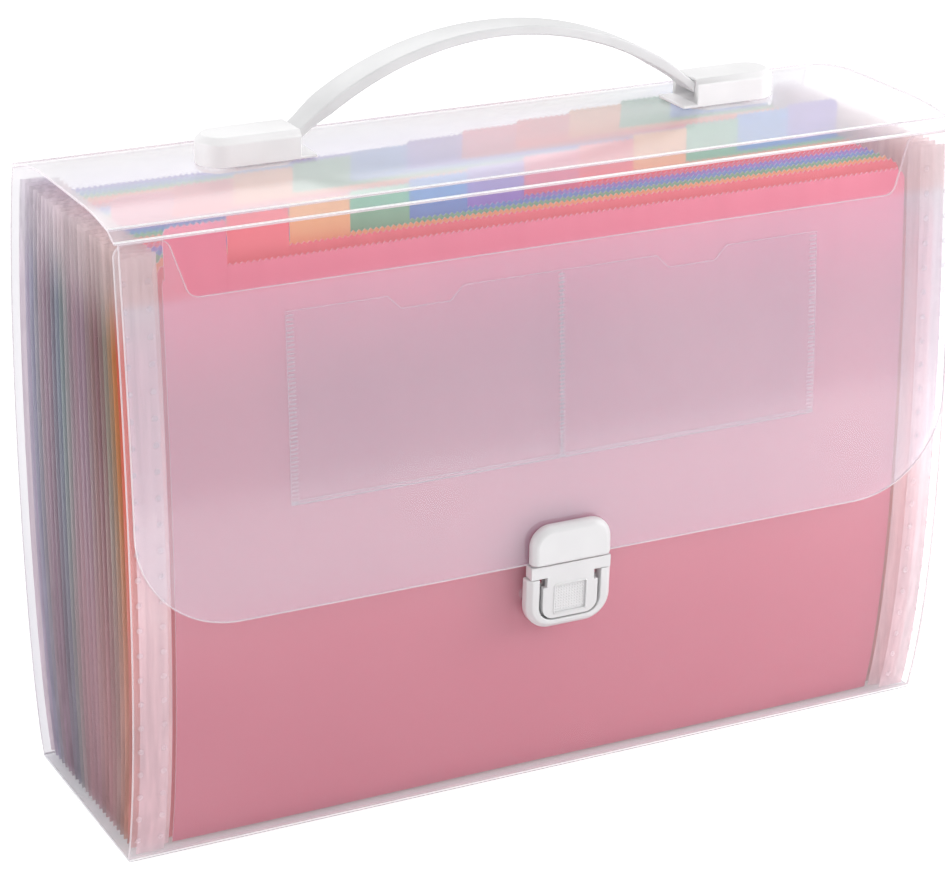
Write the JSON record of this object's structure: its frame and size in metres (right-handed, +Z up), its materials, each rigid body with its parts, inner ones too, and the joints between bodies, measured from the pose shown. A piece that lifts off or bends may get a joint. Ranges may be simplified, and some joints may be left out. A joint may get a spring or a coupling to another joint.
{
  "type": "expanding file",
  "caption": "Expanding file with pleated sides, coloured tabbed dividers, a creased flap with a push latch and a carrying strap on top.",
  "frame": {"origin": "middle of the underside, where the file stands", "axes": "+X to the right as seen from the front, +Y from the flap's side to the back, +Z up"},
  "size_m": [0.33, 0.1243, 0.2737],
  "materials": {
    "frosted_sheet": "frosted translucent polypropylene",
    "pleated_film": "clear polypropylene film, folded",
    "pocket_film": "clear polypropylene film, welded",
    "white_moulding": "satin moulded",
    "divider_pink": "translucent coloured polypropylene sheet",
    "divider_coral": "translucent coloured polypropylene sheet",
    "divider_yellow": "translucent coloured polypropylene sheet",
    "divider_green": "translucent coloured polypropylene sheet",
    "divider_blue": "translucent coloured polypropylene sheet",
    "divider_purple": "translucent coloured polypropylene sheet"
  },
  "bodies": {
    "case": {"back_panel": "frosted_sheet", "bottom_panel": "frosted_sheet", "pleats_left": "pleated_film", "pleats_right": "pleated_film"},
    "front": {"front_panel": "frosted_sheet", "card_pocket_left": "pocket_film", "card_pocket_right": "pocket_film", "latch_base": "white_moulding", "latch_base_rivets": "white_moulding"},
    "top": {"top_panel": "frosted_sheet", "handle_mount_left": "white_moulding", "handle_mount_right": "white_moulding", "handle_plate_left": "white_moulding", "handle_plate_right": "white_moulding", "handle_rivets": "white_moulding"},
    "strip": {"crease_strip": "frosted_sheet"},
    "flap": {"front_flap": "frosted_sheet", "latch_cap": "white_moulding", "latch_cap_rivets": "white_moulding"},
    "tongue": {"latch_tongue": "white_moulding"},
    "handle": {"handle_strap": "white_moulding"},
    "divider_01": {"divider_01": "divider_pink"},
    "divider_02": {"divider_02": "divider_coral"},
    "divider_03": {"divider_03": "divider_yellow"},
    "divider_04": {"divider_04": "divider_green"},
    "divider_05": {"divider_05": "divider_blue"},
    "divider_06": {"divider_06": "divider_purple"},
    "divider_07": {"divider_07": "divider_pink"},
    "divider_08": {"divider_08": "divider_coral"},
    "divider_09": {"divider_09": "divider_yellow"},
    "divider_10": {"divider_10": "divider_green"},
    "divider_11": {"divider_11": "divider_blue"},
    "divider_12": {"divider_12": "divider_purple"},
    "divider_13": {"divider_13": "divider_pink"},
    "divider_14": {"divider_14": "divider_coral"},
    "divider_15": {"divider_15": "divider_yellow"},
    "divider_16": {"divider_16": "divider_green"},
    "divider_17": {"divider_17": "divider_blue"},
    "divider_18": {"divider_18": "divider_purple"},
    "divider_19": {"divider_19": "divider_pink"},
    "divider_20": {"divider_20": "divider_coral"},
    "divider_21": {"divider_21": "divider_yellow"},
    "divider_22": {"divider_22": "divider_green"},
    "divider_23": {"divider_23": "divider_blue"},
    "divider_24": {"divider_24": "divider_purple"}
  },
  "joints": [
    {"name": "top_open", "type": "hinge", "parent": "case", "child": "top", "pos_m": [0, 0.05275, 0.2322], "axis": [-1, 0, 0], "range_deg": [0, 210]},
    {"name": "strip_fold", "type": "hinge", "parent": "top", "child": "strip", "pos_m": [0, -0.04505, 0.2356], "axis": [-1, 0, 0], "range_deg": [0, 45]},
    {"name": "flap_fold", "type": "hinge", "parent": "strip", "child": "flap", "pos_m": [0, -0.05105, 0.2326], "axis": [-1, 0, 0], "range_deg": [0, 45]},
    {"name": "tongue_press", "type": "hinge", "parent": "flap", "child": "tongue", "pos_m": [0, -0.05893, 0.092], "axis": [1, 0, 0], "range_deg": [0, 3.5], "stiffness_Nm_per_rad": 0.65},
    {"name": "handle_flatten", "type": "slide", "parent": "top", "child": "handle", "axis": [0, 0, -1], "range_m": [0, 0.02], "stiffness_N_per_m": 50, "springref_m": -0.004, "deforming": ["handle_strap"]},
    {"name": "front_fold", "type": "hinge", "parent": "case", "child": "front", "pos_m": [0, -0.04325, 0.0011], "axis": [-1, 0, 0], "range_deg": [0, 19], "deforming": ["pleats_left", "pleats_right"]},
    {"name": "divider_01_lean", "type": "hinge", "parent": "case", "child": "divider_01", "pos_m": [0, -0.03883, 0.002], "axis": [-1, 0, 0], "range_deg": [0, 18.23]},
    {"name": "divider_02_lean", "type": "hinge", "parent": "case", "child": "divider_02", "pos_m": [0, -0.03522, 0.002], "axis": [-1, 0, 0], "range_deg": [0, 17.45]},
    {"name": "divider_03_lean", "type": "hinge", "parent": "case", "child": "divider_03", "pos_m": [0, -0.0316, 0.002], "axis": [-1, 0, 0], "range_deg": [0, 16.68]},
    {"name": "divider_04_lean", "type": "hinge", "parent": "case", "child": "divider_04", "pos_m": [0, -0.02799, 0.002], "axis": [-1, 0, 0], "range_deg": [0, 15.9]},
    {"name": "divider_05_lean", "type": "hinge", "parent": "case", "child": "divider_05", "pos_m": [0, -0.02437, 0.002], "axis": [-1, 0, 0], "range_deg": [0, 15.12]},
    {"name": "divider_06_lean", "type": "hinge", "parent": "case", "child": "divider_06", "pos_m": [0, -0.02075, 0.002], "axis": [-1, 0, 0], "range_deg": [0, 14.35]},
    {"name": "divider_07_lean", "type": "hinge", "parent": "case", "child": "divider_07", "pos_m": [0, -0.01714, 0.002], "axis": [-1, 0, 0], "range_deg": [0, 13.57]},
    {"name": "divider_08_lean", "type": "hinge", "parent": "case", "child": "divider_08", "pos_m": [0, -0.01352, 0.002], "axis": [-1, 0, 0], "range_deg": [0, 12.8]},
    {"name": "divider_09_lean", "type": "hinge", "parent": "case", "child": "divider_09", "pos_m": [0, -0.00991, 0.002], "axis": [-1, 0, 0], "range_deg": [0, 12.02]},
    {"name": "divider_10_lean", "type": "hinge", "parent": "case", "child": "divider_10", "pos_m": [0, -0.00629, 0.002], "axis": [-1, 0, 0], "range_deg": [0, 11.25]},
    {"name": "divider_11_lean", "type": "hinge", "parent": "case", "child": "divider_11", "pos_m": [0, -0.00267, 0.002], "axis": [-1, 0, 0], "range_deg": [0, 10.47]},
    {"name": "divider_12_lean", "type": "hinge", "parent": "case", "child": "divider_12", "pos_m": [0, 0.00094, 0.002], "axis": [-1, 0, 0], "range_deg": [0, 9.7]},
    {"name": "divider_13_lean", "type": "hinge", "parent": "case", "child": "divider_13", "pos_m": [0, 0.00456, 0.002], "axis": [-1, 0, 0], "range_deg": [0, 8.92]},
    {"name": "divider_14_lean", "type": "hinge", "parent": "case", "child": "divider_14", "pos_m": [0, 0.00817, 0.002], "axis": [-1, 0, 0], "range_deg": [0, 8.14]},
    {"name": "divider_15_lean", "type": "hinge", "parent": "case", "child": "divider_15", "pos_m": [0, 0.01179, 0.002], "axis": [-1, 0, 0], "range_deg": [0, 7.37]},
    {"name": "divider_16_lean", "type": "hinge", "parent": "case", "child": "divider_16", "pos_m": [0, 0.01541, 0.002], "axis": [-1, 0, 0], "range_deg": [0, 6.59]},
    {"name": "divider_17_lean", "type": "hinge", "parent": "case", "child": "divider_17", "pos_m": [0, 0.01902, 0.002], "axis": [-1, 0, 0], "range_deg": [0, 5.82]},
    {"name": "divider_18_lean", "type": "hinge", "parent": "case", "child": "divider_18", "pos_m": [0, 0.02264, 0.002], "axis": [-1, 0, 0], "range_deg": [0, 5.04]},
    {"name": "divider_19_lean", "type": "hinge", "parent": "case", "child": "divider_19", "pos_m": [0, 0.02625, 0.002], "axis": [-1, 0, 0], "range_deg": [0, 4.27]},
    {"name": "divider_20_lean", "type": "hinge", "parent": "case", "child": "divider_20", "pos_m": [0, 0.02987, 0.002], "axis": [-1, 0, 0], "range_deg": [0, 3.49]},
    {"name": "divider_21_lean", "type": "hinge", "parent": "case", "child": "divider_21", "pos_m": [0, 0.03349, 0.002], "axis": [-1, 0, 0], "range_deg": [0, 2.72]},
    {"name": "divider_22_lean", "type": "hinge", "parent": "case", "child": "divider_22", "pos_m": [0, 0.0371, 0.002], "axis": [-1, 0, 0], "range_deg": [0, 1.94]},
    {"name": "divider_23_lean", "type": "hinge", "parent": "case", "child": "divider_23", "pos_m": [0, 0.04072, 0.002], "axis": [-1, 0, 0], "range_deg": [0, 1.17]},
    {"name": "divider_24_lean", "type": "hinge", "parent": "case", "child": "divider_24", "pos_m": [0, 0.04433, 0.002], "axis": [-1, 0, 0], "range_deg": [0, 0.39]}
  ],
  "couplings": [
    {"joint": "strip_fold", "follows": "flap_fold", "ratio": 1},
    {"joint": "divider_01_lean", "follows": "front_fold", "ratio": 0.9592},
    {"joint": "divider_02_lean", "follows": "front_fold", "ratio": 0.9184},
    {"joint": "divider_03_lean", "follows": "front_fold", "ratio": 0.8776},
    {"joint": "divider_04_lean", "follows": "front_fold", "ratio": 0.8367},
    {"joint": "divider_05_lean", "follows": "front_fold", "ratio": 0.7959},
    {"joint": "divider_06_lean", "follows": "front_fold", "ratio": 0.7551},
    {"joint": "divider_07_lean", "follows": "front_fold", "ratio": 0.7143},
    {"joint": "divider_08_lean", "follows": "front_fold", "ratio": 0.6735},
    {"joint": "divider_09_lean", "follows": "front_fold", "ratio": 0.6327},
    {"joint": "divider_10_lean", "follows": "front_fold", "ratio": 0.5918},
    {"joint": "divider_11_lean", "follows": "front_fold", "ratio": 0.551},
    {"joint": "divider_12_lean", "follows": "front_fold", "ratio": 0.5102},
    {"joint": "divider_13_lean", "follows": "front_fold", "ratio": 0.4694},
    {"joint": "divider_14_lean", "follows": "front_fold", "ratio": 0.4286},
    {"joint": "divider_15_lean", "follows": "front_fold", "ratio": 0.3878},
    {"joint": "divider_16_lean", "follows": "front_fold", "ratio": 0.3469},
    {"joint": "divider_17_lean", "follows": "front_fold", "ratio": 0.3061},
    {"joint": "divider_18_lean", "follows": "front_fold", "ratio": 0.2653},
    {"joint": "divider_19_lean", "follows": "front_fold", "ratio": 0.2245},
    {"joint": "divider_20_lean", "follows": "front_fold", "ratio": 0.1837},
    {"joint": "divider_21_lean", "follows": "front_fold", "ratio": 0.1429},
    {"joint": "divider_22_lean", "follows": "front_fold", "ratio": 0.102},
    {"joint": "divider_23_lean", "follows": "front_fold", "ratio": 0.0612},
    {"joint": "divider_24_lean", "follows": "front_fold", "ratio": 0.0204}
  ]
}
